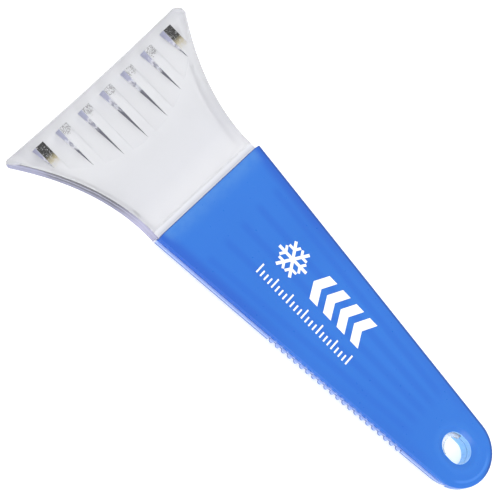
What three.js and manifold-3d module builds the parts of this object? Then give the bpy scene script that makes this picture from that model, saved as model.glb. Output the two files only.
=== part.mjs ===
// Windshield ice scraper: a clear fan-shaped blade, whose tang runs the length of the handle
// between two translucent half shells. Millimetres, +Z up, +Y towards the scraping edge, and
// the origin at the centre of the bounding box's underside.
import * as THREE from "three";
import Module from "manifold-3d";
import { mergeVertices } from "three/addons/utils/BufferGeometryUtils.js";

// Overall size
const LENGTH = 209.6; // middle of the scraping edge to the end of the handle
const GAP = 0.3; // clearance between touching pieces

// Blade, seen from above: d is the distance back from the scraping edge
const WAIST_HALF = 27.7; // half width where the blade meets the handle
const FLARE = 22.2; // extra half width at the scraping edge
const FLARE_LENGTH = 55;
const FLARE_POWER = 1.95;
const EDGE_HOLLOW = 0.7; // how far the blade's corners reach ahead of the middle of the edge
const EDGE_HALF = 48;
const CORNER_RADIUS = 2;
const BLADE_BACK = 57.3;

// Blade, seen from the side
const PLATE_TOP = 6.1;
const PLATE_THICK = 2.2;
const FLANGE_THICK = 2.3; // side walls below the plate
const EDGE_THICK = 0.5;
const POCKET_FRONT = 6; // the hollow under the plate starts no nearer to the scraping edge

// The ramp that leads down to the scraping edge ends on a circular arc
const RAMP_RADIUS = 54.2;
const RAMP_DEPTH = 29;
const RAMP_SHORTEST = 4.2; // its length in the corners

// Seven ice-breaking teeth stand on the ramp, flush with the plate's top
const TEETH = 7;
const TOOTH_PITCH = 12;
const TOOTH_WIDTH = 4.2;
const TOOTH_FRONT = 4.5; // middle tooth's distance from the scraping edge
const TOOTH_FRONT_BOW = 1.1; // the outer teeth stand this much further forward
const TOOTH_ROOT = 1;

// Handle, seen from above
const HANDLE_FRONT = 58.4; // on the middle line
const END_RADIUS = 14.8;
const TAPER = THREE.MathUtils.degToRad(5.85); // per side
const FRONT_SKEW = 0.036; // the top shell's front edge runs a little askew, back to the right
const EAR_INNER = 26.5; // beyond this, its front corners slope back
const EAR_SLOPE = 0.14;

// Tang: a plate between the shells, which stands proud of them along both sides. The left side
// carries a row of half-round grip bumps.
const TANG_THICK = 1.6;
const LEDGE = 0.8;
const TANG_FRONT = 50;
const TANG_END_SHIFT = 2.6; // its end arc stops short of the shells' end arc
const GRIP_START = 112.4;
const GRIP_BUMPS = 22;
const GRIP_PITCH = 3;
const GRIP_BUMP_RADIUS = 1.05;
const RIB_COUNT = 5;
const RIB_WIDTH = 1.2;
const RIB_HEIGHT = 2.4;
const RIB_START = 74.5;
const RIB_END = 178;
const RIB_PITCH_FRONT = 10;
const RIB_PITCH_BACK = 5;

// Hang hole: a slot with round ends, along the handle
const HOLE_RADIUS = 5.4;
const HOLE_HALF_STRAIGHT = 1.1;
const HOLE_CENTRE = 194;
const COLLAR_WALL = 1.5;
const TANG_HOLE_RADIUS = 4.4;
const TANG_HOLE_START = 189.3; // the tang shows inside the hole here
// A shallow dish round the hole, from its floor's edge to its rim
const DISH_INNER = 0.8;
const DISH_OUTER = 3.4;
const DISH_FLOOR = 7.3;
const DISH_RIM = 8.75;

// Top shell: its surface at distances in from its outline, as [inset, height]
const TOP_SHELL_LOW = PLATE_TOP + GAP;
const TOP_PROFILE = [[0, TOP_SHELL_LOW], [0, 7.6], [0.25, 7.95], [0.8, 8.2], [3.2, 8.4], [12, 8.6]];
const TOP_WALL = 1.4;
const RIM_WIDTH = 4;
const RECESS_DEPTH = 0.7; // hollow in its underside, inside the rim
const RECESS_START = 63;
const RECESS_END = 181;

// Bottom shell: a tray, with its side as [inset, height] and its hollow's side likewise
const TANG_LOW = PLATE_TOP - TANG_THICK;
const BOTTOM_SHELL_HIGH = TANG_LOW - GAP;
const BOTTOM_INSET = 1.2;
const BOTTOM_PROFILE = [[5, 0], [3.2, 0.35], [2, 1.2], [1.45, 2.6], [BOTTOM_INSET, BOTTOM_SHELL_HIGH]];
const BOTTOM_WALL = 1.6;
const HOLLOW_INSET = BOTTOM_INSET + BOTTOM_WALL;

// Locating pegs in the top shell's front corners
const PEG_RADIUS = 0.7;
const PEG_ACROSS = 24.6;
const PEG_FROM_EDGE = 63;

const FAR = 20; // cutters reach this far past what they cut
const HOLLOW_PROFILE = [[HOLLOW_INSET + 2, BOTTOM_WALL], [HOLLOW_INSET, 2.6], [HOLLOW_INSET, FAR]];

const wasm = await Module();
wasm.setup();

const yOf = (d) => (LENGTH - EDGE_HOLLOW) / 2 - d;

// ---------- solids ----------

function solidOf(geometry) {
  const bare = geometry.index ? geometry.toNonIndexed() : geometry.clone();
  bare.deleteAttribute("normal");
  bare.deleteAttribute("uv");
  const merged = mergeVertices(bare, 1e-4);
  const vertProperties = new Float32Array(merged.attributes.position.array);
  const triVerts = new Uint32Array(merged.index.array);
  return new wasm.Manifold(new wasm.Mesh({ numProp: 3, vertProperties, triVerts }));
}

function geometryOf(solid) {
  const mesh = solid.getMesh();
  const geometry = new THREE.BufferGeometry();
  geometry.setAttribute("position", new THREE.BufferAttribute(mesh.vertProperties, 3));
  geometry.setIndex(new THREE.BufferAttribute(mesh.triVerts, 1));
  return geometry;
}

// A closed body through rings of points with equal counts, capped at the first and last ring.
function loft(rings, flatCap) {
  const count = rings[0].length;
  const positions = rings.flat().flatMap((p) => [p.x, p.y, p.z]);
  const faces = [];
  for (let ring = 0; ring + 1 < rings.length; ring += 1) {
    for (let i = 0; i < count; i += 1) {
      const a = ring * count + i;
      const b = ring * count + ((i + 1) % count);
      faces.push([a, b, b + count], [a, b + count, a + count]);
    }
  }
  const last = (rings.length - 1) * count;
  const cap = THREE.ShapeUtils.triangulateShape(flatCap, []);
  const areaOf = (corners) => THREE.ShapeUtils.area(corners.map((i) => flatCap[i]));
  const capArea = cap.reduce((sum, corners) => sum + areaOf(corners), 0);
  const sameTurn = capArea * THREE.ShapeUtils.area(flatCap) > 0;
  for (const corners of cap) {
    const [a, b, c] = sameTurn ? corners : [...corners].reverse();
    faces.push([c, b, a], [a + last, b + last, c + last]);
  }
  const point = (i) => new THREE.Vector3().fromArray(positions, 3 * i);
  const volume = faces.reduce((sum, [a, b, c]) => sum + point(a).dot(point(b).cross(point(c))), 0);
  const outward = volume > 0 ? faces : faces.map(([a, b, c]) => [a, c, b]);
  const geometry = new THREE.BufferGeometry();
  geometry.setAttribute("position", new THREE.Float32BufferAttribute(positions, 3));
  geometry.setIndex(outward.flat());
  return solidOf(geometry);
}

// A body whose plan outline changes with height: each level is { outline, z }.
function layered(levels) {
  const rings = levels.map(({ outline, z }) => outline.map((p) => new THREE.Vector3(p.x, p.y, z)));
  return loft(rings, levels[0].outline);
}

function prism(outline, low, high) {
  return layered([{ outline, z: low }, { outline, z: high }]);
}

function box(xLow, xHigh, dNear, dFar, zLow, zHigh) {
  const near = yOf(dNear);
  const far = yOf(dFar);
  const corners = [[xLow, far], [xHigh, far], [xHigh, near], [xLow, near]];
  return prism(corners.map(([x, y]) => new THREE.Vector2(x, y)), zLow, zHigh);
}

function cylinder(x, d, radius, low, high, sides = 16) {
  const geometry = new THREE.CylinderGeometry(radius, radius, high - low, sides);
  geometry.rotateX(Math.PI / 2);
  geometry.translate(x, yOf(d), (low + high) / 2);
  return solidOf(geometry);
}

// ---------- outlines ----------

const planPoint = (x, d) => new THREE.Vector2(x, yOf(d));

function arcPoints(x, d, radius, from, to, steps) {
  return Array.from({ length: steps + 1 }, (_, i) => {
    const angle = from + ((to - from) * i) / steps;
    return planPoint(x + radius * Math.cos(angle), d + radius * Math.sin(angle));
  });
}

// Closes an outline round x = 0: the right half, which may start or end on the axis, and the
// left half, given as its mirror image. Without a left half the outline is symmetric.
function mirrored(right, left = right) {
  const offAxis = left.filter((p) => p.x > 1e-6);
  const other = offAxis.map((p) => new THREE.Vector2(-p.x, p.y)).reverse();
  return [...right, ...other];
}

function bladeHalfWidth(d) {
  return WAIST_HALF + FLARE * Math.max(0, 1 - d / FLARE_LENGTH) ** FLARE_POWER;
}

const edgeAt = (x) => -EDGE_HOLLOW * (x / EDGE_HALF) ** 2;

// The fan, from the middle of the scraping edge round one corner to the back, then mirrored.
// inset draws in the sides and the back, and the outline starts at distance front or later.
function bladeOutline(inset, front) {
  const frontSteps = 8;
  const sideSteps = 14;
  const sideNormal = THREE.MathUtils.degToRad(38);
  const cornerD = edgeAt(EDGE_HALF) + CORNER_RADIUS;
  const sideStart = cornerD + CORNER_RADIUS * Math.sin(sideNormal);
  const cornerX = bladeHalfWidth(sideStart) - CORNER_RADIUS * Math.cos(sideNormal);
  const half = [];
  for (let i = 0; i < frontSteps; i += 1) {
    const x = (cornerX * i) / frontSteps;
    half.push(planPoint(x, edgeAt(x)));
  }
  half.push(...arcPoints(cornerX, cornerD, CORNER_RADIUS, -Math.PI / 2, sideNormal, 5));
  for (let i = 1; i <= sideSteps; i += 1) {
    const d = sideStart + ((FLARE_LENGTH - sideStart) * i) / sideSteps;
    half.push(planPoint(bladeHalfWidth(d), d));
  }
  half.push(planPoint(WAIST_HALF, BLADE_BACK));
  const backY = yOf(BLADE_BACK) + inset;
  const kept = half.filter((p) => p.y <= yOf(front));
  const shifted = kept.map((p) => new THREE.Vector2(p.x - inset, Math.max(p.y, backY)));
  return mirrored(shifted);
}

// Half width of the handle shells, measured square to the axis.
const endCentre = LENGTH - END_RADIUS;

function handleHalfWidth(d) {
  return END_RADIUS / Math.cos(TAPER) + (endCentre - d) * Math.tan(TAPER);
}

// How far back the top shell starts, across the handle.
function shellFront(x) {
  return HANDLE_FRONT + FRONT_SKEW * x + EAR_SLOPE * Math.max(0, Math.abs(x) - EAR_INNER);
}

// The handle's outline drawn in by inset, from its front edge at distance front.
function handleOutline(inset, front) {
  const side = handleHalfWidth(front) - inset / Math.cos(TAPER);
  const endArc = arcPoints(0, endCentre, END_RADIUS - inset, TAPER, Math.PI / 2, 14);
  return mirrored([planPoint(side, front), ...endArc]);
}

function slotOutline(grow) {
  const radius = HOLE_RADIUS + grow;
  const back = arcPoints(0, HOLE_CENTRE + HOLE_HALF_STRAIGHT, radius, 0, Math.PI, 14);
  const front = arcPoints(0, HOLE_CENTRE - HOLE_HALF_STRAIGHT, radius, Math.PI, 2 * Math.PI, 14);
  return [...back, ...front];
}

// ---------- blade ----------

function rampLength(x) {
  const reach = Math.sqrt(Math.max(0, RAMP_RADIUS ** 2 - x ** 2));
  return Math.max(RAMP_SHORTEST, RAMP_DEPTH - RAMP_RADIUS + reach);
}

// Everything above the ramp: straight lines run from the scraping edge up to the arc.
function aboveRamp() {
  const ahead = -3;
  const steps = 24;
  const widest = Math.asin((EDGE_HALF - RAMP_SHORTEST / 2) / RAMP_RADIUS);
  const angles = Array.from({ length: steps + 1 }, (_, i) => widest * (2 * i / steps - 1));
  const xs = [-EDGE_HALF - FAR, ...angles.map((t) => RAMP_RADIUS * Math.sin(t)), EDGE_HALF + FAR];
  const rings = xs.map((x) => {
    const edge = edgeAt(Math.min(Math.abs(x), EDGE_HALF));
    const back = rampLength(x);
    const side = [
      [ahead, EDGE_THICK],
      [edge, EDGE_THICK],
      [back, PLATE_TOP],
      [back, PLATE_TOP + FAR],
      [ahead, PLATE_TOP + FAR],
    ];
    return side.map(([d, z]) => new THREE.Vector3(x, yOf(d), z));
  });
  return loft(rings, rings[0].map((p) => new THREE.Vector2(p.y, p.z)));
}

// The teeth stand on the ramp and reach a little way into it.
function teeth(cutter) {
  const middle = (TEETH - 1) / 2;
  const boxes = Array.from({ length: TEETH }, (_, i) => {
    const x = (i - middle) * TOOTH_PITCH;
    const front = TOOTH_FRONT - TOOTH_FRONT_BOW * ((i - middle) / middle) ** 2;
    const back = RAMP_DEPTH + 1;
    return box(x - TOOTH_WIDTH / 2, x + TOOTH_WIDTH / 2, front, back, 0, PLATE_TOP);
  });
  const reach = cutter.translate([0, 0, -TOOTH_ROOT]);
  return boxes.map((tooth) => tooth.intersect(reach));
}

function fan() {
  const cutter = aboveRamp();
  const slab = prism(bladeOutline(0, -FAR), 0, PLATE_TOP);
  const pocket = prism(bladeOutline(FLANGE_THICK, POCKET_FRONT), -FAR, PLATE_TOP - PLATE_THICK);
  const hollow = pocket.subtract(cutter.translate([0, 0, -PLATE_THICK]));
  const ramped = slab.subtract(cutter).subtract(hollow);
  return teeth(cutter).reduce((body, tooth) => body.add(tooth), ramped);
}

// One side of the tang: a straight ledge, set back to the shells' side where it carries the grip.
function tangSide(hasGrip) {
  const gripEnd = GRIP_START + GRIP_BUMPS * GRIP_PITCH;
  const shellSide = handleHalfWidth(HANDLE_FRONT);
  const shoulder = shellFront(hasGrip ? -shellSide : shellSide);
  const ledgeAt = (d) => planPoint(handleHalfWidth(d) + LEDGE, d);
  const gripAt = (d) => planPoint(handleHalfWidth(d), d);
  const neck = [planPoint(WAIST_HALF, TANG_FRONT), planPoint(WAIST_HALF, shoulder)];
  const grip = [ledgeAt(GRIP_START), gripAt(GRIP_START), gripAt(gripEnd), ledgeAt(gripEnd)];
  const end = arcPoints(0, endCentre - TANG_END_SHIFT, END_RADIUS + LEDGE, TAPER, Math.PI / 2, 10);
  return [...neck, ledgeAt(shoulder), ...(hasGrip ? grip : []), ...end];
}

function gripBumps() {
  return Array.from({ length: GRIP_BUMPS }, (_, i) => {
    const d = GRIP_START + (i + 0.5) * GRIP_PITCH;
    return cylinder(-handleHalfWidth(d), d, GRIP_BUMP_RADIUS, TANG_LOW, PLATE_TOP);
  });
}

function tangRib(index) {
  const step = index - (RIB_COUNT - 1) / 2;
  const front = step * RIB_PITCH_FRONT;
  const back = step * RIB_PITCH_BACK;
  const half = RIB_WIDTH / 2;
  const corners = [
    planPoint(back - half, RIB_END),
    planPoint(back + half, RIB_END),
    planPoint(front + half, RIB_START),
    planPoint(front - half, RIB_START),
  ];
  return prism(corners, TANG_LOW - RIB_HEIGHT, PLATE_TOP - TANG_THICK / 2);
}

function tangHole() {
  const start = TANG_HOLE_START + TANG_HOLE_RADIUS;
  const round = arcPoints(0, start, TANG_HOLE_RADIUS, Math.PI, 2 * Math.PI, 12);
  const collarStart = HOLE_CENTRE - HOLE_HALF_STRAIGHT;
  const sides = [TANG_HOLE_RADIUS, -TANG_HOLE_RADIUS].map((x) => planPoint(x, HOLE_CENTRE));
  const room = prism(slotOutline(COLLAR_WALL + GAP), -FAR, FAR);
  const behind = box(-FAR, FAR, collarStart - GAP, LENGTH, -FAR, FAR);
  return prism([...round, ...sides], -FAR, FAR).add(room.intersect(behind));
}

function pegHoles() {
  const radius = PEG_RADIUS + GAP;
  return [-1, 1].map((side) => cylinder(side * PEG_ACROSS, PEG_FROM_EDGE, radius, -FAR, FAR));
}

function bladeSolid() {
  const tang = prism(mirrored(tangSide(false), tangSide(true)), TANG_LOW, PLATE_TOP);
  const ribs = Array.from({ length: RIB_COUNT }, (_, i) => tangRib(i));
  const added = [...ribs, ...gripBumps(), fan()].reduce((body, other) => body.add(other), tang);
  return [tangHole(), ...pegHoles()].reduce((body, hole) => body.subtract(hole), added);
}

// ---------- handle shells ----------

// The lip and collar fill the tang's layer where the tang leaves room for them.
function endLip() {
  const full = prism(handleOutline(0, HOLE_CENTRE), TANG_LOW, TOP_SHELL_LOW + TOP_WALL);
  const tangRoom = prism(handleOutline(-LEDGE - GAP, HANDLE_FRONT), -FAR, TOP_SHELL_LOW);
  return full.subtract(tangRoom.translate([0, TANG_END_SHIFT, 0]));
}

function collar() {
  const ring = prism(slotOutline(COLLAR_WALL), TANG_LOW, TOP_SHELL_LOW + TOP_WALL);
  const behind = box(-FAR, FAR, HOLE_CENTRE - HOLE_HALF_STRAIGHT, LENGTH, -FAR, FAR);
  return ring.intersect(behind);
}

// A shell's body: the handle's outline drawn in as profile says, level by level.
function profiled(profile, front) {
  return layered(profile.map(([inset, z]) => ({ outline: handleOutline(inset, front), z })));
}

// Everything ahead of the top shell's front edge.
function aheadOfShell() {
  const edge = [2 * FAR, EAR_INNER, -EAR_INNER, -2 * FAR].map((x) => planPoint(x, shellFront(x)));
  return prism([planPoint(-2 * FAR, 0), planPoint(2 * FAR, 0), ...edge], 0, FAR);
}

function topShellSolid() {
  const withinLength = box(-FAR * 2, FAR * 2, 0, RECESS_END, 0, FAR);
  const recessOutline = handleOutline(RIM_WIDTH, RECESS_START);
  const recess = prism(recessOutline, 0, TOP_SHELL_LOW + RECESS_DEPTH).intersect(withinLength);
  const dish = layered([
    { outline: slotOutline(DISH_INNER), z: DISH_FLOOR },
    { outline: slotOutline(DISH_OUTER), z: DISH_RIM },
  ]);
  const pegTop = TOP_SHELL_LOW + TOP_WALL / 2;
  const pegs = [-1, 1].map((side) => {
    return cylinder(side * PEG_ACROSS, PEG_FROM_EDGE, PEG_RADIUS, TANG_LOW, pegTop);
  });
  const skin = profiled(TOP_PROFILE, TANG_FRONT).subtract(aheadOfShell());
  const opened = skin.subtract(recess).subtract(dish);
  const joined = [endLip(), collar(), ...pegs].reduce((body, piece) => body.add(piece), opened);
  return joined.subtract(prism(slotOutline(0), -FAR, FAR));
}

function bottomShellSolid() {
  const front = BLADE_BACK + GAP;
  const hollow = profiled(HOLLOW_PROFILE, front + BOTTOM_WALL);
  const boss = prism(slotOutline(COLLAR_WALL), 0, FAR);
  const tray = profiled(BOTTOM_PROFILE, front).subtract(hollow.subtract(boss));
  return tray.subtract(prism(slotOutline(0), -FAR, FAR));
}

// ---------- assembly ----------

const clearPlastic = new THREE.MeshStandardMaterial({
  color: 0xe8eaee,
  roughness: 0.08,
  metalness: 0,
  transparent: true,
  opacity: 0.45,
});
const bluePlastic = new THREE.MeshStandardMaterial({ color: 0x4186e5, roughness: 0.3, metalness: 0 });

function piece(name, solid, material) {
  const mesh = new THREE.Mesh(geometryOf(solid), material);
  mesh.name = name;
  return mesh;
}

const scraper = new THREE.Group();
scraper.add(piece("blade", bladeSolid(), clearPlastic));
scraper.add(piece("top_shell", topShellSolid(), bluePlastic));
scraper.add(piece("bottom_shell", bottomShellSolid(), bluePlastic));

export default scraper;
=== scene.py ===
"""The looks of a windshield ice scraper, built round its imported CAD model.

Shapes are worked out in millimetres, in the CAD frame: x across, y towards the scraping edge, z up.
d is the distance back from the middle of the scraping edge. MM turns millimetres into metres.
"""
import math

import bpy
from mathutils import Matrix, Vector


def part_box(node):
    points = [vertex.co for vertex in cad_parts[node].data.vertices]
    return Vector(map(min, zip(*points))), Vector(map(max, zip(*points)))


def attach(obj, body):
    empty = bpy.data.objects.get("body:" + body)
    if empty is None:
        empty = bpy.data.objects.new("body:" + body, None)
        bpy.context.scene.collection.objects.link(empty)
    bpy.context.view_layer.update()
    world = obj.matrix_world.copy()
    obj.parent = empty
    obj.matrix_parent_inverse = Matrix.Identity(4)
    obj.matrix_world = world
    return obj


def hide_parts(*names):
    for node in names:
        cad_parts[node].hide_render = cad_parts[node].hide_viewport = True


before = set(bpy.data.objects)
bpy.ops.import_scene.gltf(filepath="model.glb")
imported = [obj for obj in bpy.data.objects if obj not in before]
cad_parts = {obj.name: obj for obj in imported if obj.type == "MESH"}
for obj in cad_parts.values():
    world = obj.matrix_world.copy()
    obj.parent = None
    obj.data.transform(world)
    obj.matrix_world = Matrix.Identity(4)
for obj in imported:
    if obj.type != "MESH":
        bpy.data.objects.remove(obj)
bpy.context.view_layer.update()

MM = 0.001


def box_mm(node):
    """A CAD node's lowest and highest corners, in millimetres."""
    low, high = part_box(node)
    return low / MM, high / MM


blade_high = box_mm("blade")[1]
top_low, top_high = box_mm("top_shell")
bottom_high = box_mm("bottom_shell")[1]

# ---------- sizes ----------

EDGE_HOLLOW = 0.7  # how far the blade's corners reach ahead of the middle of the edge
EDGE_Y = blade_high.y - EDGE_HOLLOW
LENGTH = EDGE_Y - top_low.y
GAP = 0.3  # clearance between touching pieces

# blade, from above
WAIST_HALF = 27.7  # half width where the blade meets the handle
FLARE = 22.2  # extra half width at the scraping edge
FLARE_LENGTH = 55
FLARE_POWER = 1.95
EDGE_HALF = 48  # about half the scraping edge's length
CORNER_RADIUS = 2
SIDE_NORMAL = math.radians(38)  # where the corner's arc runs into the side
BLADE_BACK = 57.3

# blade, from the side
PLATE_TOP = blade_high.z
PLATE_THICK = 2.2
FLANGE_THICK = 2.3  # side walls below the plate
EDGE_THICK = 0.5
POCKET_FRONT = 6  # where the hollow under the plate starts
SOFT_EDGE = 0.25  # radius of the moulding's softened edges

# ramp and teeth
RAMP_RADIUS = 54.2
RAMP_DEPTH = 29
RAMP_SHORTEST = 4.2  # its length in the corners
TEETH = 7
LAST_TOOTH = (TEETH - 1) / 2  # counted from the middle one
TOOTH_PITCH = 12
TOOTH_WIDTH = 4.2
TOOTH_FRONT = 4.5
TOOTH_FRONT_BOW = 1.1  # how far the end teeth start ahead of the middle one
TOOTH_ROOT = 1  # how deep the teeth reach into the ramp

# handle, from above
HANDLE_FRONT = 58.4
FRONT_SKEW = 0.036  # slope of the top shell's front edge
END_RADIUS = 14.8
TAPER = math.radians(5.85)
EAR_INNER = 26.5  # beyond this the front edge slopes back
EAR_SLOPE = 0.14
END_CENTRE = LENGTH - END_RADIUS

# tang
TANG_THICK = 1.6
TANG_LOW = PLATE_TOP - TANG_THICK
LEDGE = 0.8  # how far the tang stands out past the shells
TANG_FRONT = 50
TANG_END_SHIFT = 2.6  # how far its round end stays ahead of the shells' end
GRIP_START = 112.4
GRIP_BUMPS = 22
GRIP_PITCH = 3
GRIP_BUMP_RADIUS = 1.05
RIB_COUNT = 5
RIB_WIDTH = 1.2
RIB_HEIGHT = 2.4
RIB_START = 74.5
RIB_END = 178
RIB_PITCH_FRONT = 10
RIB_PITCH_BACK = 5

# hang hole
HOLE_RADIUS = 5.4
HOLE_HALF_STRAIGHT = 1.1
HOLE_CENTRE = 194
COLLAR_WALL = 1.5
TANG_HOLE_RADIUS = 4.4
TANG_HOLE_START = 189.3
DISH_FLARE = 3.4
DISH_DEPTH = 1.2

# shells
CROWN_TOP = top_high.z - 0.05  # the print stands a little above this
CROWN_DROP = 0.3
CROWN_REACH = 12  # how far in from the edge the crown levels out
SHOULDER = 0.65
TOP_SHELL_LOW = PLATE_TOP + GAP
TOP_WALL = 1.4
RIM_WIDTH = 4
TOP_RECESS_START = 63
TOP_RECESS_END = 181
RECESS_DEPTH = 0.7
BOTTOM_SHELL_HIGH = bottom_high.z
BOTTOM_INSET = 1.2
BOTTOM_DRAW = 3.8  # how far the rounded lower edge draws in
BOTTOM_ROUNDNESS = 2.6
BOTTOM_WALL = 1.6
PEG_RADIUS = 0.7
PEG_ACROSS = 24.6
PEG_FROM_EDGE = 63

FAR = 20  # cutters reach this far past what they cut
CUT_PAST = 0.1  # or this far, where a cutter is shaped to the crown's top

# ---------- meshes ----------


def place(x, d, z=0.0):
    return Vector((x, EDGE_Y - d, z))


def triple_product_sum(points, faces):
    total = 0.0
    for face in faces:
        for i in range(1, len(face) - 1):
            a, b, c = points[face[0]], points[face[i]], points[face[i + 1]]
            total += a.dot(b.cross(c))
    return total


def loft(rings):
    """A closed body through rings of points with equal counts, as (points, faces)."""
    count = len(rings[0])
    points = [p for ring in rings for p in ring]
    faces = [tuple(reversed(range(count)))]
    for start in range(0, count * (len(rings) - 1), count):
        for i in range(count):
            j = (i + 1) % count
            faces.append((start + i, start + j, start + j + count, start + i + count))
    last = len(points) - count
    faces.append(tuple(last + i for i in range(count)))
    if triple_product_sum(points, faces) < 0:
        faces = [tuple(reversed(face)) for face in faces]
    return points, faces


def layered(levels):
    """A body whose plan outline changes with height: levels are (outline, z)."""
    return loft([[Vector((p.x, p.y, z)) for p in outline] for outline, z in levels])


def prism(outline, low, high):
    return layered([(outline, low), (outline, high)])


def box(x_low, x_high, d_near, d_far, z_low, z_high):
    corners = [(x_low, d_far), (x_high, d_far), (x_high, d_near), (x_low, d_near)]
    return prism([place(x, d) for x, d in corners], z_low, z_high)


def merged(bodies):
    """Separate closed bodies in one mesh."""
    points, faces = [], []
    for body_points, body_faces in bodies:
        start = len(points)
        points += body_points
        faces += [tuple(start + i for i in face) for face in body_faces]
    return points, faces


def object_of(body):
    points, faces = body
    mesh = bpy.data.meshes.new("tool")
    mesh.from_pydata([tuple(p) for p in points], [], faces)
    mesh.validate()
    made = bpy.data.objects.new("tool", mesh)
    bpy.context.scene.collection.objects.link(made)
    return made


def combine(first, operation, body):
    """Unites, cuts or intersects the object first with a body, and returns first."""
    second = object_of(body)
    modifier = first.modifiers.new("combine", "BOOLEAN")
    modifier.operation = operation
    modifier.solver = "MANIFOLD"
    modifier.object = second
    bpy.context.view_layer.update()
    depsgraph = bpy.context.evaluated_depsgraph_get()
    mesh = bpy.data.meshes.new_from_object(first.evaluated_get(depsgraph))
    first.modifiers.clear()
    first.data = mesh
    bpy.data.objects.remove(second)
    return first


def mesh_body(thing):
    """The mesh of an object as a body, and the object is removed."""
    points = [v.co.copy() for v in thing.data.vertices]
    faces = [tuple(face.vertices) for face in thing.data.polygons]
    bpy.data.objects.remove(thing)
    return points, faces


def finish_mesh(thing, name, sharp_degrees, material):
    """Turns millimetres into metres, smooths the curved stretches and gives the material."""
    mesh = thing.data
    for vertex in mesh.vertices:
        vertex.co *= MM
    mesh.shade_smooth()
    mesh.set_sharp_from_angle(angle=math.radians(sharp_degrees))
    mesh.materials.clear()
    mesh.materials.append(material)
    mesh.name = name
    thing.name = name
    weighted = thing.modifiers.new("even_normals", "WEIGHTED_NORMAL")
    weighted.keep_sharp = True
    return thing


# ---------- outlines ----------


def arc(x, d, radius, start, end, steps):
    angles = [start + (end - start) * i / steps for i in range(steps + 1)]
    return [place(x + radius * math.cos(t), d + radius * math.sin(t)) for t in angles]


def mirrored(right, left=None):
    """An outline round x = 0, from its right half and the mirror image of its left half."""
    other = [Vector((-p.x, p.y, p.z)) for p in left or right if p.x > 1e-6]
    return right + other[::-1]


def drawn_in(outline, inset):
    """The outline with every side moved inwards by inset."""
    sharpest = 0.3  # keeps a sharp corner from moving too far
    count = len(outline)
    area = sum(outline[i - 1].cross(outline[i]).z for i in range(count))
    turn = 1 if area > 0 else -1
    moved = []
    for i in range(count):
        before = (outline[i] - outline[i - 1]).normalized()
        after = (outline[(i + 1) % count] - outline[i]).normalized()
        side = Vector((-before.y - after.y, before.x + after.x, 0)).normalized() * turn
        share = max(sharpest, abs(side.dot(Vector((-after.y, after.x, 0)))))
        moved.append(outline[i] + side * (inset / share))
    return moved


def blade_half_width(d):
    return WAIST_HALF + FLARE * max(0, 1 - d / FLARE_LENGTH) ** FLARE_POWER


def edge_at(x):
    return -EDGE_HOLLOW * (x / EDGE_HALF) ** 2


def blade_outline(front=-FAR):
    """The fan, from the middle of the scraping edge round one corner to the back, mirrored."""
    front_steps = 24
    side_steps = 56
    corner_d = edge_at(EDGE_HALF) + CORNER_RADIUS
    side_start = corner_d + CORNER_RADIUS * math.sin(SIDE_NORMAL)
    corner_x = blade_half_width(side_start) - CORNER_RADIUS * math.cos(SIDE_NORMAL)
    xs = [corner_x * i / front_steps for i in range(front_steps)]
    half = [place(x, edge_at(x)) for x in xs]
    half += arc(corner_x, corner_d, CORNER_RADIUS, -math.pi / 2, SIDE_NORMAL, 24)
    for i in range(1, side_steps + 1):
        d = side_start + (FLARE_LENGTH - side_start) * i / side_steps
        half.append(place(blade_half_width(d), d))
    half.append(place(WAIST_HALF, BLADE_BACK))
    limit = place(0, front).y
    return mirrored([p for p in half if p.y <= limit])


def handle_half_width(d):
    return END_RADIUS / math.cos(TAPER) + (END_CENTRE - d) * math.tan(TAPER)


def shell_front(x):
    """How far back the top shell starts: a little askew, and sloping back at its corners."""
    return HANDLE_FRONT + FRONT_SKEW * x + EAR_SLOPE * max(0, abs(x) - EAR_INNER)


def handle_outline(inset, front, end_shift=0.0):
    side = handle_half_width(front) - inset / math.cos(TAPER)
    end = arc(0, END_CENTRE - end_shift, END_RADIUS - inset, TAPER, math.pi / 2, 36)
    return mirrored([place(side, front)] + end)


def slot_outline(grow):
    radius = HOLE_RADIUS + grow
    back = arc(0, HOLE_CENTRE + HOLE_HALF_STRAIGHT, radius, 0, math.pi, 36)
    front = arc(0, HOLE_CENTRE - HOLE_HALF_STRAIGHT, radius, math.pi, 2 * math.pi, 36)
    return back + front


# ---------- blade ----------


def ramp_length(x):
    reach = math.sqrt(max(0, RAMP_RADIUS**2 - x**2))
    return max(RAMP_SHORTEST, RAMP_DEPTH - RAMP_RADIUS + reach)


def above_ramp(lowered=0.0):
    """Everything above the ramp: straight lines run from the scraping edge up to the arc."""
    ahead = -3  # clear of the edge's corners
    steps = 64
    widest = math.asin((EDGE_HALF - RAMP_SHORTEST / 2) / RAMP_RADIUS)
    angles = [widest * (2 * i / steps - 1) for i in range(steps + 1)]
    inner = [RAMP_RADIUS * math.sin(t) for t in angles]
    rings = []
    for x in [-EDGE_HALF - FAR, *inner, EDGE_HALF + FAR]:
        edge = edge_at(min(abs(x), EDGE_HALF))
        back = ramp_length(x)
        side = [
            (ahead, EDGE_THICK),
            (edge, EDGE_THICK),
            (back, PLATE_TOP),
            (back, PLATE_TOP + FAR),
            (ahead, PLATE_TOP + FAR),
        ]
        rings.append([place(x, d, z - lowered) for d, z in side])
    return loft(rings)


def rounded_prism(outline, low, high, radius, steps=4):
    """A prism whose top and bottom edges are rounded."""
    levels = []
    for i in range(steps + 1):
        t = math.pi / 2 * i / steps
        levels.append((radius * (1 - math.sin(t)), low + radius * (1 - math.cos(t))))
    levels += [(inset, low + high - z) for inset, z in reversed(levels)]
    return layered([(drawn_in(outline, inset), z) for inset, z in levels])


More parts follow.
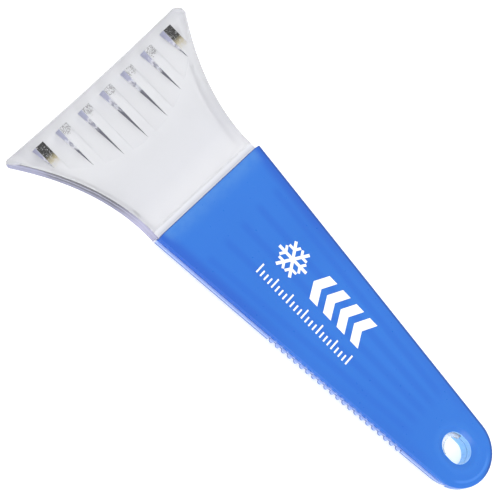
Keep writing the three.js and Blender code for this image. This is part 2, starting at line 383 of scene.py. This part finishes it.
def teeth():
    bodies = []
    for i in range(TEETH):
        x = (i - LAST_TOOTH) * TOOTH_PITCH
        front = TOOTH_FRONT - TOOTH_FRONT_BOW * (i / LAST_TOOTH - 1) ** 2
        half = TOOTH_WIDTH / 2
        corners = [(-half, RAMP_DEPTH + 1), (half, RAMP_DEPTH + 1), (half, front), (-half, front)]
        outline = [place(x + side, d) for side, d in corners]
        bodies.append(rounded_prism(outline, 0, PLATE_TOP, SOFT_EDGE / 2, 2))
    return mesh_body(combine(object_of(merged(bodies)), "INTERSECT", above_ramp(TOOTH_ROOT)))


def fan():
    slab = object_of(rounded_prism(blade_outline(), 0, PLATE_TOP, SOFT_EDGE))
    pocket_outline = drawn_in(blade_outline(POCKET_FRONT - FLANGE_THICK), FLANGE_THICK)
    pocket = object_of(prism(pocket_outline, -FAR, PLATE_TOP - PLATE_THICK))
    combine(pocket, "DIFFERENCE", above_ramp(PLATE_THICK))
    combine(slab, "DIFFERENCE", above_ramp())
    combine(slab, "DIFFERENCE", mesh_body(pocket))
    return combine(slab, "UNION", teeth())


def tang_side(side):
    """One side of the tang, as if on the right. The left side carries the grip."""
    grip_end = GRIP_START + GRIP_BUMPS * GRIP_PITCH
    shoulder = shell_front(side * handle_half_width(HANDLE_FRONT))

    def ledge_at(d, reach=LEDGE):
        return place(handle_half_width(d) + reach, d)

    outline = [place(WAIST_HALF, TANG_FRONT), place(WAIST_HALF, shoulder), ledge_at(shoulder)]
    if side < 0:
        outline += [ledge_at(GRIP_START), ledge_at(GRIP_START, 0)]
        outline += [ledge_at(grip_end, 0), ledge_at(grip_end)]
    end_centre = END_CENTRE - TANG_END_SHIFT
    return outline + arc(0, end_centre, END_RADIUS + LEDGE, TAPER, math.pi / 2, 36)


def grip_bumps():
    bumps = []
    for i in range(GRIP_BUMPS):
        d = GRIP_START + (i + 0.5) * GRIP_PITCH
        circle = arc(-handle_half_width(d), d, GRIP_BUMP_RADIUS, 0, 2 * math.pi, 32)[:-1]
        bumps.append(rounded_prism(circle, TANG_LOW, PLATE_TOP, SOFT_EDGE, 3))
    return merged(bumps)


def tang_rib(index):
    step = index - (RIB_COUNT - 1) / 2
    front = step * RIB_PITCH_FRONT
    back = step * RIB_PITCH_BACK
    half = RIB_WIDTH / 2
    corners = [
        (back - half, RIB_END),
        (back + half, RIB_END),
        (front + half, RIB_START),
        (front - half, RIB_START),
    ]
    outline = [place(x, d) for x, d in corners]
    return prism(outline, TANG_LOW - RIB_HEIGHT, TANG_LOW + TANG_THICK / 2)


def tang_hole():
    start = TANG_HOLE_START + TANG_HOLE_RADIUS
    throat = arc(0, start, TANG_HOLE_RADIUS, math.pi, 2 * math.pi, 24)
    throat += [place(TANG_HOLE_RADIUS, HOLE_CENTRE), place(-TANG_HOLE_RADIUS, HOLE_CENTRE)]
    room = object_of(prism(slot_outline(COLLAR_WALL + GAP), -FAR, FAR))
    behind = box(-FAR, FAR, HOLE_CENTRE - HOLE_HALF_STRAIGHT - GAP, LENGTH, -2 * FAR, 2 * FAR)
    combine(room, "INTERSECT", behind)
    return mesh_body(combine(room, "UNION", prism(throat, -FAR, FAR)))


def pegs(radius, low, high):
    return merged(
        prism(arc(side * PEG_ACROSS, PEG_FROM_EDGE, radius, 0, 2 * math.pi, 24)[:-1], low, high)
        for side in (-1, 1)
    )


def make_blade(material):
    blade = fan()
    tang = mirrored(tang_side(1), tang_side(-1))
    combine(blade, "UNION", rounded_prism(tang, TANG_LOW, PLATE_TOP, SOFT_EDGE / 2, 2))
    combine(blade, "UNION", merged(tang_rib(i) for i in range(RIB_COUNT)))
    combine(blade, "UNION", grip_bumps())
    combine(blade, "DIFFERENCE", tang_hole())
    combine(blade, "DIFFERENCE", pegs(PEG_RADIUS + GAP, -FAR, FAR))
    return finish_mesh(blade, "blade_moulding", 9, material)


# ---------- handle shells ----------


def crown_height(inset):
    """The top shell's height at a distance in from its edge: a rounded shoulder, then a low crown."""
    crown = CROWN_DROP * max(0, 1 - inset / CROWN_REACH) ** 2
    shoulder = SHOULDER - math.sqrt(SHOULDER**2 - max(0, SHOULDER - inset) ** 2)
    return CROWN_TOP - crown - shoulder


def top_skin():
    shoulder_steps = 7
    crown_steps = 8
    insets = [SHOULDER * (1 - math.cos(math.pi / 2 * i / shoulder_steps)) for i in range(shoulder_steps)]
    insets += [SHOULDER + (CROWN_REACH - SHOULDER) * i / crown_steps for i in range(crown_steps + 1)]
    levels = [(handle_outline(0, TANG_FRONT), TOP_SHELL_LOW)]
    levels += [(handle_outline(inset, TANG_FRONT), crown_height(inset)) for inset in insets]
    return layered(levels)


def ahead_of_shell():
    """Everything ahead of the top shell's front edge, whose upper corner is a little softened."""
    across = [2 * FAR, EAR_INNER, -EAR_INNER, -2 * FAR]
    softening = [(-CROWN_TOP, 0), (-0.5, 0), (-0.2, 0.12), (CUT_PAST, 0.5)]
    levels = []
    for height, back in softening:
        z = CROWN_TOP + height
        edge = [place(x, shell_front(x) + back) for x in across]
        levels.append(([place(-2 * FAR, 0), place(2 * FAR, 0)] + edge, z))
    return layered(levels)


def dish():
    """The shallow dish round the hang hole, with a rounded lip."""
    steps = 8
    levels = []
    for i in range(steps + 1):
        share = i / steps
        depth = DISH_DEPTH * (1 - math.sin(math.pi / 2 * share))
        levels.append((slot_outline(DISH_FLARE * share), CROWN_TOP + CUT_PAST - depth))
    return layered(levels)


def end_lip():
    lip = object_of(prism(handle_outline(0, HOLE_CENTRE), TANG_LOW, TOP_SHELL_LOW + TOP_WALL / 2))
    room = handle_outline(-LEDGE - GAP, HANDLE_FRONT, TANG_END_SHIFT)
    return mesh_body(combine(lip, "DIFFERENCE", prism(room, -FAR, TOP_SHELL_LOW)))


def collar():
    ring = object_of(prism(slot_outline(COLLAR_WALL), TANG_LOW, TOP_SHELL_LOW + TOP_WALL / 2))
    behind = box(-FAR, FAR, HOLE_CENTRE - HOLE_HALF_STRAIGHT, LENGTH, -FAR, FAR)
    return mesh_body(combine(ring, "INTERSECT", behind))


def make_top_shell(material):
    shell = object_of(top_skin())
    combine(shell, "DIFFERENCE", ahead_of_shell())
    recess = object_of(prism(handle_outline(RIM_WIDTH, TOP_RECESS_START), 0, TOP_SHELL_LOW + RECESS_DEPTH))
    combine(recess, "INTERSECT", box(-2 * FAR, 2 * FAR, 0, TOP_RECESS_END, -FAR, FAR))
    combine(shell, "DIFFERENCE", mesh_body(recess))
    combine(shell, "DIFFERENCE", dish())
    combine(shell, "UNION", end_lip())
    combine(shell, "UNION", collar())
    combine(shell, "UNION", pegs(PEG_RADIUS, TANG_LOW, TOP_SHELL_LOW + RECESS_DEPTH))
    combine(shell, "DIFFERENCE", prism(slot_outline(0), -FAR, FAR))
    return finish_mesh(shell, "handle_top_shell", 32, material)


def make_bottom_shell(material):
    front = BLADE_BACK + GAP
    steps = 10
    levels = []
    for i in range(steps + 1):
        down = math.sin(math.pi / 2 * (1 - i / steps))
        draw = BOTTOM_DRAW * (1 - (1 - down**BOTTOM_ROUNDNESS) ** 0.5)
        levels.append((handle_outline(BOTTOM_INSET + draw, front), BOTTOM_SHELL_HIGH * (1 - down)))
    shell = object_of(layered(levels))
    inner = BOTTOM_INSET + BOTTOM_WALL
    cavity_levels = [(inner + 2, BOTTOM_WALL), (inner, BOTTOM_WALL + 1), (inner, FAR)]
    cavity_front = front + BOTTOM_WALL
    cavity = object_of(layered([(handle_outline(inset, cavity_front), z) for inset, z in cavity_levels]))
    combine(cavity, "DIFFERENCE", prism(slot_outline(COLLAR_WALL), -FAR, 2 * FAR))
    combine(shell, "DIFFERENCE", mesh_body(cavity))
    combine(shell, "DIFFERENCE", prism(slot_outline(0), -FAR, FAR))
    return finish_mesh(shell, "handle_bottom_shell", 32, material)


# ---------- printed mark ----------

PRINT_LIFT = 0.015
PRINT_THICK = 0.03
FLAKE_CENTRE = (4.8, 98.8)
FLAKE_RADIUS = 7.3
FLAKE_STROKE = 1.25
BRANCH_STROKE = FLAKE_STROKE * 0.85
FORK_AT = 0.52  # how far out an arm forks, as a share of the radius
FORK_REACH = 0.38
CHEVRONS = 4
CHEVRON_LEFT = -1.6
CHEVRON_RIGHT = 11.2
CHEVRON_START = 113.4
CHEVRON_PITCH = 7.4
CHEVRON_DEPTH = 3.2
CHEVRON_WIDTH = 4.2
TICKS = 25
TICK_LEFT = -9.9
TICK_START = 92
TICK_PITCH = 2
TICK_STROKE = 0.65
TICK_REACH = 2.8
LONG_TICK_REACH = 4.6
LONG_TICK_EVERY = 4


def flat_piece(outline):
    """A thin sheet of ink on the crowned face. outline holds (across, d) pairs."""

    def at(x, d, lift):
        inset = (handle_half_width(d) - abs(x)) * math.cos(TAPER)
        return place(x, d, crown_height(inset) + lift)

    low = [at(x, d, PRINT_LIFT) for x, d in outline]
    high = [at(x, d, PRINT_LIFT + PRINT_THICK) for x, d in outline]
    return loft([low, high])


def bar(x0, d0, x1, d1, width):
    """A straight stroke from (x0, d0) to (x1, d1)."""
    along = Vector((x1 - x0, d1 - d0)).normalized()
    side = Vector((-along.y, along.x)) * (width / 2)
    ends = [(x0, d0, 1), (x1, d1, 1), (x1, d1, -1), (x0, d0, -1)]
    return flat_piece([(x + side.x * s, d + side.y * s) for x, d, s in ends])


def reached(start, distance, angle):
    """The point at a distance from start. Both points are (across, d)."""
    return start[0] + distance * math.cos(angle), start[1] + distance * math.sin(angle)


def snowflake():
    """Six arms, each with one pair of side branches."""
    sixth = math.pi / 3
    strokes = []
    for arm in range(6):
        angle = sixth * (arm + 0.5)
        tip = reached(FLAKE_CENTRE, FLAKE_RADIUS, angle)
        strokes.append(bar(*FLAKE_CENTRE, *tip, FLAKE_STROKE))
        fork = reached(FLAKE_CENTRE, FLAKE_RADIUS * FORK_AT, angle)
        for turn in (-sixth, sixth):
            branch = reached(fork, FLAKE_RADIUS * FORK_REACH, angle + turn)
            strokes.append(bar(*fork, *branch, BRANCH_STROKE))
    return strokes


def chevron(d):
    middle = (CHEVRON_LEFT + CHEVRON_RIGHT) / 2
    back = d + CHEVRON_WIDTH
    outline = [
        (CHEVRON_LEFT, d),
        (middle, d - CHEVRON_DEPTH),
        (CHEVRON_RIGHT, d),
        (CHEVRON_RIGHT, back),
        (middle, back - CHEVRON_DEPTH),
        (CHEVRON_LEFT, back),
    ]
    return flat_piece(outline)


def tick(index):
    reach = TICK_REACH if index % LONG_TICK_EVERY else LONG_TICK_REACH
    d = TICK_START + TICK_PITCH * index
    return bar(TICK_LEFT, d, TICK_LEFT + reach, d, TICK_STROKE)


def make_print(material):
    """A snowflake, four chevrons and a row of ticks: a generic mark."""
    strokes = snowflake()
    strokes += [chevron(CHEVRON_START + CHEVRON_PITCH * i) for i in range(CHEVRONS)]
    strokes += [tick(i) for i in range(TICKS)]
    mark = object_of(strokes[0])
    for stroke in strokes[1:]:
        combine(mark, "UNION", stroke)
    return finish_mesh(mark, "printed_mark", 30, material)


# ---------- materials ----------

PLASTIC_IOR = 1.49
CLEARNESS = 0.66  # transmission weight of the clear plastic
RIGHT_WALL = 0.15  # how strongly the right side wall shows its painted shade, against the left one's 1
PLATE_TONES = 60  # the blade's tones are spread over this length, from the scraping edge
TOOTH_TONES = 24  # and the painted shade of a tooth's side over this one, from its front


class Field:
    """A number at every point of a surface, put together with ordinary operators."""

    def __init__(self, tree, socket):
        self.tree = tree
        self.socket = socket

    def math(self, operation, *others):
        node = self.tree.nodes.new("ShaderNodeMath")
        node.operation = operation
        for i, value in enumerate((self, *others)):
            if isinstance(value, Field):
                self.tree.links.new(value.socket, node.inputs[i])
            else:
                node.inputs[i].default_value = value
        return Field(self.tree, node.outputs[0])

    def __add__(self, other):
        return self.math("ADD", other)

    def __sub__(self, other):
        return self.math("SUBTRACT", other)

    def __mul__(self, other):
        return self.math("MULTIPLY", other)

    def __truediv__(self, other):
        return self.math("DIVIDE", other)

    def abs(self):
        return self.math("ABSOLUTE")

    def step(self, start, end):
        """0 before start and 1 after end, with a smooth change between. start may be above end."""
        node = self.tree.nodes.new("ShaderNodeMapRange")
        node.interpolation_type = "SMOOTHSTEP"
        rising = start < end
        self.tree.links.new(self.socket, node.inputs["Value"])
        node.inputs["From Min"].default_value = min(start, end)
        node.inputs["From Max"].default_value = max(start, end)
        node.inputs["To Min"].default_value = 0 if rising else 1
        node.inputs["To Max"].default_value = 1 if rising else 0
        return Field(self.tree, node.outputs["Result"])


class Finish:
    """A Principled material with helpers for its procedural detail."""

    def __init__(self, name):
        self.material = bpy.data.materials.new(name)
        self.material.use_nodes = True
        self.tree = self.material.node_tree
        self.shader = next(n for n in self.tree.nodes if n.type == "BSDF_PRINCIPLED")
        coordinates = self.tree.nodes.new("ShaderNodeTexCoord")
        self.point = coordinates.outputs["Object"]
        split = self.tree.nodes.new("ShaderNodeSeparateXYZ")
        self.tree.links.new(self.point, split.inputs[0])
        self.x = Field(self.tree, split.outputs["X"]) / MM
        self.d = Field(self.tree, split.outputs["Y"]) * (-1 / MM) + EDGE_Y
        self.z = Field(self.tree, split.outputs["Z"]) / MM
        facing = self.tree.nodes.new("ShaderNodeSeparateXYZ")
        self.tree.links.new(coordinates.outputs["Normal"], facing.inputs[0])
        self.up = Field(self.tree, facing.outputs["Z"])

    def noise(self, per_mm, detail=2.0, roughness=0.5):
        node = self.tree.nodes.new("ShaderNodeTexNoise")
        self.tree.links.new(self.point, node.inputs["Vector"])
        node.inputs["Scale"].default_value = per_mm / MM
        node.inputs["Detail"].default_value = detail
        node.inputs["Roughness"].default_value = roughness
        return Field(self.tree, node.outputs["Fac"])

    def colours(self, field, stops):
        """A colour for every value of field. stops are (place, colour)."""
        ramp = self.tree.nodes.new("ShaderNodeValToRGB")
        self.tree.links.new(field.socket, ramp.inputs["Fac"])
        elements = ramp.color_ramp.elements
        while len(elements) < len(stops):
            elements.new(0.5)
        for element, (position, colour) in zip(elements, stops):
            element.position = position
            element.color = (*colour, 1)
        return ramp.outputs["Color"]

    def mix(self, share, first, second):
        """first where share is 0 and second where it is 1. Each is a socket or a colour."""
        node = self.tree.nodes.new("ShaderNodeMix")
        node.data_type = "RGBA"
        self.tree.links.new(share.socket, node.inputs["Factor"])
        for name, value in (("A", first), ("B", second)):
            socket = next(s for s in node.inputs if s.name == name and s.type == "RGBA")
            if isinstance(value, tuple):
                socket.default_value = (*value, 1)
            else:
                self.tree.links.new(value, socket)
        return next(s for s in node.outputs if s.type == "RGBA")

    def set(self, name, value):
        socket = self.shader.inputs[name]
        if isinstance(value, Field):
            self.tree.links.new(value.socket, socket)
        elif isinstance(value, bpy.types.NodeSocket):
            self.tree.links.new(value, socket)
        else:
            socket.default_value = value

    def bump(self, height, depth_mm):
        node = self.tree.nodes.new("ShaderNodeBump")
        self.tree.links.new(height.socket, node.inputs["Height"])
        node.inputs["Distance"].default_value = depth_mm * MM
        self.tree.links.new(node.outputs["Normal"], self.shader.inputs["Normal"])


def front_distance(finish):
    """How far a point lies behind the top shell's front edge, in millimetres."""
    skewed = finish.d - finish.x * FRONT_SKEW - HANDLE_FRONT
    return skewed - (finish.x.abs() - EAR_INNER).math("MAXIMUM", 0.0) * EAR_SLOPE


def fan_side_distance(finish):
    """How far a point lies in from the fan's side edge, in millimetres."""
    left = (finish.d / FLARE_LENGTH * -1 + 1).math("MAXIMUM", 0.0)
    return left.math("POWER", FLARE_POWER) * FLARE + WAIST_HALF - finish.x.abs()


def edge_distance(finish):
    """How far a point lies in from the handle's outline, seen from above, in millimetres."""
    across = finish.x.abs()
    past = finish.d - END_CENTRE
    straight = past * -math.sin(TAPER) - across * math.cos(TAPER) + END_RADIUS
    round_end = (across * across + past * past).math("SQRT") * -1 + END_RADIUS
    at_end = past.step(-0.5, 0.5)
    return straight + (round_end - straight) * at_end


def hole_distance(finish):
    """How far a point lies outside the hang hole's outline, seen from above."""
    from_centre = (finish.d - HOLE_CENTRE).abs() - HOLE_HALF_STRAIGHT
    past = from_centre.math("MAXIMUM", 0.0)
    return (finish.x * finish.x + past * past).math("SQRT") - HOLE_RADIUS


def tooth_offset(finish):
    """How far a point lies from the middle of the nearest tooth's place, and the place's number.

    Places are counted from the middle one, and there is a tooth up to number LAST_TOOTH.
    """
    turns = finish.x / TOOTH_PITCH
    nearest = turns.math("ROUND")
    return (turns - nearest) * TOOTH_PITCH, nearest.abs()


def speckle(finish):
    """The rough patch at the front of each tooth's top, strong on the two end teeth; its specks are
    painted shade.
    """
    offset, index = tooth_offset(finish)
    on_tooth = offset.abs().step(TOOTH_WIDTH / 2, TOOTH_WIDTH / 2 - 0.2)
    on_top = finish.z.step(PLATE_TOP - 0.35, PLATE_TOP - 0.1)
    is_end = index.step(LAST_TOOTH - 0.6, LAST_TOOTH - 0.4)
    is_tooth = index.step(LAST_TOOTH + 0.6, LAST_TOOTH + 0.4)
    ragged = (finish.noise(0.9, detail=3) - 0.5) * 5
    reach = finish.d + ragged
    patch = reach.step(TOOTH_FRONT + 4.2, TOOTH_FRONT + 2.6) * 0.75
    end_patch = reach.step(TOOTH_FRONT + 9.5, TOOTH_FRONT + 5)
    grains = finish.noise(2.2, detail=3, roughness=0.7)
    coarse = grains.step(0.69, 0.57)
    fine = grains.step(0.57, 0.43)
    share = coarse * end_patch * is_end + fine * patch * (is_end * -1 + 1)
    return share * on_tooth * on_top * is_tooth


def outer_wall(finish):
    """1 on the upright wall down the fan's left side, and faint on its right side: where the wall's
    painted shade goes.
    """
    strength = finish.x.step(5, -5).math("MAXIMUM", RIGHT_WALL)
    near_side = fan_side_distance(finish).step(1.6, 0.8) * strength
    upright = finish.up.abs().step(0.8, 0.5)
    return near_side * upright * finish.d.step(HANDLE_FRONT, BLADE_BACK)


def tooth_wall(finish):
    """1 on the upright left sides of the teeth and 0 elsewhere."""
    offset, index = tooth_offset(finish)
    near_wall = (offset + TOOTH_WIDTH / 2).abs().step(0.3, 0.15)
    upright = finish.up.abs().step(0.7, 0.4)
    above = finish.z.step(EDGE_THICK + 0.4, EDGE_THICK + 0.7)
    inside = fan_side_distance(finish).step(1, 2)
    is_tooth = index.step(LAST_TOOTH + 0.6, LAST_TOOTH + 0.4)
    return near_wall * upright * above * inside * is_tooth


def plate_tones(finish):
    """The blade's tones from the scraping edge to just under the top shell."""
    waviness = (finish.noise(0.02, detail=3) - 0.5) * 0.02
    along = finish.d / PLATE_TONES + waviness
    stops = [
        (0.0, (0.76, 0.765, 0.79)),
        (0.07, (0.88, 0.885, 0.905)),
        (0.3, (0.875, 0.88, 0.90)),
        (0.55, (0.825, 0.83, 0.855)),
        (0.75, (0.84, 0.845, 0.875)),
        (0.95, (0.965, 0.965, 0.985)),
    ]
    return finish.colours(along, stops)


def wall_shade_tones(finish):
    """A side wall's painted shade and reflections, dark bands with a thin painted highlight, from its
    bottom to its top. Lilac covers them by the handle and corner.
    """
    band_wobble = (finish.noise(0.35, detail=3) - 0.5) * 1.6
    stops = [
        (0.0, (0.20, 0.21, 0.32)),
        (0.25, (0.23, 0.24, 0.36)),
        (0.4, (0.12, 0.12, 0.18)),
        (0.58, (0.08, 0.08, 0.12)),
        (0.7, (0.34, 0.35, 0.46)),
        (0.78, (0.06, 0.06, 0.09)),
        (0.93, (0.04, 0.04, 0.06)),
    ]
    colour = finish.colours((finish.z + band_wobble) / PLATE_TOP, stops)
    near_handle = finish.d.step(36, 50) * 0.75
    colour = finish.mix(near_handle, colour, (0.48, 0.47, 0.67))
    below_top = finish.z.step(PLATE_TOP - 0.3, PLATE_TOP - 0.8)
    at_corner = finish.d.step(16, 9) * below_top * 0.7
    return finish.mix(at_corner, colour, (0.29, 0.30, 0.47))


def tooth_shade_and_glints(finish):
    """A tooth's upright side, painted shade with painted glints: from lilac at the front to nearly black
    at the back.
    """
    mottle = (finish.noise(0.5, detail=1) - 0.5) * 5
    back = (finish.d - TOOTH_FRONT + mottle) / TOOTH_TONES
    stops = [
        (0.0, (0.42, 0.43, 0.58)),
        (0.14, (0.50, 0.51, 0.68)),
        (0.2, (0.9, 0.9, 0.96)),
        (0.27, (0.36, 0.36, 0.44)),
        (0.33, (0.85, 0.86, 0.92)),
        (0.42, (0.15, 0.15, 0.19)),
        (1.0, (0.1, 0.1, 0.11)),
    ]
    return finish.colours(back, stops)


def ledge_glow_and_shade(finish):
    """The tang's edge: painted blue light from the shells near the top, and painted shade below."""
    height = (finish.z - TANG_LOW) / TANG_THICK
    return finish.colours(height, [(0.62, (0.12, 0.22, 0.55)), (0.85, (0.43, 0.57, 1.0))])


def speck_shade_tones(finish):
    """The specks on the teeth, painted shade seen through the rough patch: near black at the front and
    sandy further back.
    """
    fading = finish.d.step(TOOTH_FRONT + 3.5, TOOTH_FRONT + 6.5)
    return finish.mix(fading, (0.012, 0.012, 0.012), (0.42, 0.36, 0.2))


def clear_plastic():
    finish = Finish("clear_plastic")
    colour = plate_tones(finish)
    # painted shade and reflections on the fan's side walls
    wall = outer_wall(finish)
    colour = finish.mix(wall, colour, wall_shade_tones(finish))
    # painted shade and glints on the teeth's upright left sides
    tooth = tooth_wall(finish)
    colour = finish.mix(tooth, colour, tooth_shade_and_glints(finish))

    behind = front_distance(finish)
    before_shell = behind.step(0.6, 0.2) * finish.up.step(0.5, 0.8)
    neck = behind.step(-3.2, -2.0) * before_shell
    colour = finish.mix(neck, colour, (0.745, 0.75, 0.775))
    # a painted highlight: a white line just ahead of the top shell's front edge
    highlight_line = behind.step(-0.55, -0.35) * before_shell
    colour = finish.mix(highlight_line, colour, (1.0, 1.0, 1.0))

    # the tang's edge past the shells: painted blue light and painted shade
    ledge = edge_distance(finish).step(0.5, 0.2) * behind.step(-0.3, 0.0)
    colour = finish.mix(ledge, colour, ledge_glow_and_shade(finish))
    # painted shade: dark specks on the rough patches atop the teeth
    speck_shade = speckle(finish)
    colour = finish.mix(speck_shade, colour, speck_shade_tones(finish))
    finish.set("Base Color", colour)
    toned = (wall + tooth + ledge).math("MINIMUM", 1.0)
    clouded = toned * 0.5 + neck * CLEARNESS + speck_shade * 0.3
    finish.set("Transmission Weight", clouded * -1 + CLEARNESS)
    finish.set("IOR", PLASTIC_IOR)
    grain = finish.noise(1.2, detail=3)
    finish.set("Roughness", grain * 0.05 + 0.02)
    finish.bump(finish.noise(0.05, detail=1), 0.05)
    return finish.material


def rib_shadow(finish):
    """1 over the tang's ribs and 0 between them."""
    share = (finish.d - RIB_START) / (RIB_END - RIB_START)
    pitch = share * (RIB_PITCH_BACK - RIB_PITCH_FRONT) + RIB_PITCH_FRONT
    turns = finish.x / pitch
    nearest = turns.math("ROUND")
    offset = ((turns - nearest) * pitch).abs()
    inside = nearest.abs().step((RIB_COUNT + 0.5) / 2, (RIB_COUNT - 0.5) / 2)
    along = finish.d.step(RIB_START - 1, RIB_START + 3) * finish.d.step(RIB_END + 1, RIB_END - 6)
    return offset.step(2.6, 0.4) * inside * along


def blue_tones(finish):
    """Blue, a little cloudy, and darker over the tang's ribs."""
    cloud = finish.noise(0.018, detail=2)
    base = finish.colours(cloud, [(0.3, (0.007, 0.14, 0.575)), (0.7, (0.012, 0.158, 0.61))])
    return finish.mix(rib_shadow(finish) * 0.65, base, (0.004, 0.118, 0.56))


def blue_plastic():
    finish = Finish("blue_plastic")
    colour = blue_tones(finish)
    inward = edge_distance(finish)
    behind = front_distance(finish)

    # painted shade: a deeper blue along both sides over the shell's thick rim, strongest at the front and
    # gone by the hang hole's middle
    strength = finish.d.step(88, 128) * -0.55 + 0.8
    rim_shade = inward.step(RIM_WIDTH + 2.2, RIM_WIDTH - 2.4)
    rim_shade = rim_shade * finish.d.step(HOLE_CENTRE, HOLE_CENTRE - 10) * strength
    colour = finish.mix(rim_shade, colour, (0.003, 0.09, 0.51))

    # painted light: a lighter, mottled zone behind the front edge, where light glows through the plastic
    mottle = finish.noise(0.25, detail=2).step(0.3, 0.65)
    front = behind.step(8, 0.5) * inward.step(1.5, RIM_WIDTH) * (mottle * 0.25 + 0.32)
    colour = finish.mix(front, colour, (0.07, 0.25, 0.63))

    # a painted highlight: a lighter line round the tip, which fades out towards the right
    at_tip = finish.d.step(HOLE_CENTRE + 6, HOLE_CENTRE + 9) * finish.x.step(9, 4)
    tip_highlight = inward.step(3.2, 2.5) * inward.step(1.6, 2.2) * at_tip * 0.5
    colour = finish.mix(tip_highlight, colour, (0.06, 0.25, 0.75))

    # painted shade: a thin dark line along the front edge and the right side
    right_edge = inward.step(1.5, 0.8) * finish.x.step(-5, 5)
    edge_shade = (behind.step(0.45, 0.15) + right_edge).math("MINIMUM", 1.0)
    colour = finish.mix(edge_shade * 0.8, colour, (0.002, 0.06, 0.3))

    # the hang hole: a painted lighter ring round it and a pale wall inside it, painted light glowing
    # through the plastic
    outside = hole_distance(finish)
    colour = finish.mix(outside.step(5, 3) * 0.4, colour, (0.02, 0.175, 0.62))
    colour = finish.mix(outside.step(0.12, 0.02), colour, (0.3, 0.6, 0.95))
    finish.set("Base Color", colour)
    grain = finish.noise(0.8, detail=3)
    finish.set("Roughness", grain * 0.12 + 0.24)
    finish.set("IOR", PLASTIC_IOR)
    finish.set("Subsurface Weight", 0.15)
    finish.set("Subsurface Radius", (0.4, 0.8, 1.6))
    finish.set("Subsurface Scale", MM)
    finish.bump(finish.noise(0.35, detail=2), 0.02)
    return finish.material


def white_ink():
    finish = Finish("white_ink")
    film = finish.noise(1.5, detail=4)
    stops = [(0.3, (0.93, 0.93, 0.93)), (0.7, (0.97, 0.97, 0.97))]
    finish.set("Base Color", finish.colours(film, stops))
    finish.set("Roughness", film * 0.15 + 0.35)
    finish.bump(film, 0.01)
    return finish.material


# ---------- pieces ----------

clear = clear_plastic()
blue = blue_plastic()
ink = white_ink()

for maker, material, node, slot in (
    (make_blade, clear, "blade", "clear_plastic"),
    (make_top_shell, blue, "top_shell", "blue_plastic"),
    (make_bottom_shell, blue, "bottom_shell", "blue_plastic"),
):
    piece = maker(material)
    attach(piece, "root")
    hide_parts(node)

mark = make_print(ink)
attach(mark, "root")

# ---------- stage ----------


def make_floor():
    """A plain pale floor that gives a little light of its own, a hair below the object."""
    half = 4
    drop = 0.0001
    corners = [(-half, -half), (half, -half), (half, half), (-half, half)]
    mesh = bpy.data.meshes.new("floor")
    mesh.from_pydata([(x, y, -drop) for x, y in corners], [], [(0, 1, 2, 3)])
    floor = bpy.data.objects.new("floor", mesh)
    bpy.context.scene.collection.objects.link(floor)
    material = bpy.data.materials.new("floor")
    material.use_nodes = True
    shader = next(n for n in material.node_tree.nodes if n.type == "BSDF_PRINCIPLED")
    shader.inputs["Base Color"].default_value = (0.85, 0.85, 0.85, 1)
    shader.inputs["Emission Color"].default_value = (1, 1, 1, 1)
    shader.inputs["Emission Strength"].default_value = 0.42
    shader.inputs["Roughness"].default_value = 0.9
    shader.inputs["Specular IOR Level"].default_value = 0.1
    mesh.materials.append(material)


def make_world():
    """An even pale sky, a little darker and cooler towards the horizon."""
    world = bpy.data.worlds.new("studio")
    world.use_nodes = True
    tree = world.node_tree
    background = next(n for n in tree.nodes if n.type == "BACKGROUND")
    coordinates = tree.nodes.new("ShaderNodeTexCoord")
    split = tree.nodes.new("ShaderNodeSeparateXYZ")
    tree.links.new(coordinates.outputs["Generated"], split.inputs[0])
    ramp = tree.nodes.new("ShaderNodeValToRGB")
    tree.links.new(split.outputs["Z"], ramp.inputs["Fac"])
    low, high = ramp.color_ramp.elements
    low.position = 0.05
    low.color = (0.42, 0.43, 0.55, 1)
    high.position = 0.45
    high.color = (1, 1, 1, 1)
    tree.links.new(ramp.outputs["Color"], background.inputs["Color"])
    background.inputs["Strength"].default_value = 1.15
    bpy.context.scene.world = world


def towards(azimuth, elevation):
    """The direction from the object to a viewer or lamp, by angles in degrees."""
    a = math.radians(azimuth)
    e = math.radians(elevation)
    return Vector((math.sin(a) * math.cos(e), -math.cos(a) * math.cos(e), math.sin(e)))


def make_lamp(name, azimuth, elevation, distance, size, power):
    light = bpy.data.lights.new(name, "AREA")
    light.shape = "SQUARE"
    light.size = size
    light.energy = power
    lamp = bpy.data.objects.new(name, light)
    bpy.context.scene.collection.objects.link(lamp)
    direction = towards(azimuth, elevation)
    lamp.location = direction * distance
    lamp.rotation_euler = direction.to_track_quat("Z", "Y").to_euler()


CAMERA_AZIMUTH = -101.49
CAMERA_ELEVATION = 62.62
CAMERA_ROLL = math.radians(56.32)
CAMERA_DISTANCE = 602.0 * MM
CAMERA_AIM = Vector((-3.12, 19.34, 4.0)) * MM
CAMERA_LENS = 115.75


def make_camera():
    data = bpy.data.cameras.new("camera")
    data.lens = CAMERA_LENS
    data.sensor_width = 36
    data.clip_start = 0.01
    camera = bpy.data.objects.new("camera", data)
    bpy.context.scene.collection.objects.link(camera)
    back = towards(CAMERA_AZIMUTH, CAMERA_ELEVATION)
    level = Vector((0, 0, 1)).cross(back).normalized()
    upright = back.cross(level)
    right = level * math.cos(CAMERA_ROLL) + upright * math.sin(CAMERA_ROLL)
    up = upright * math.cos(CAMERA_ROLL) - level * math.sin(CAMERA_ROLL)
    matrix = camera.matrix_world.to_3x3()
    for row in range(3):
        matrix[row] = (right[row], up[row], back[row])
    camera.matrix_world = matrix.to_4x4()
    camera.location = CAMERA_AIM + back * CAMERA_DISTANCE
    bpy.context.scene.camera = camera


make_floor()
make_world()
make_lamp("key", azimuth=-60, elevation=55, distance=0.9, size=0.5, power=2.0)
make_camera()
bpy.context.scene.view_settings.view_transform = "Standard"
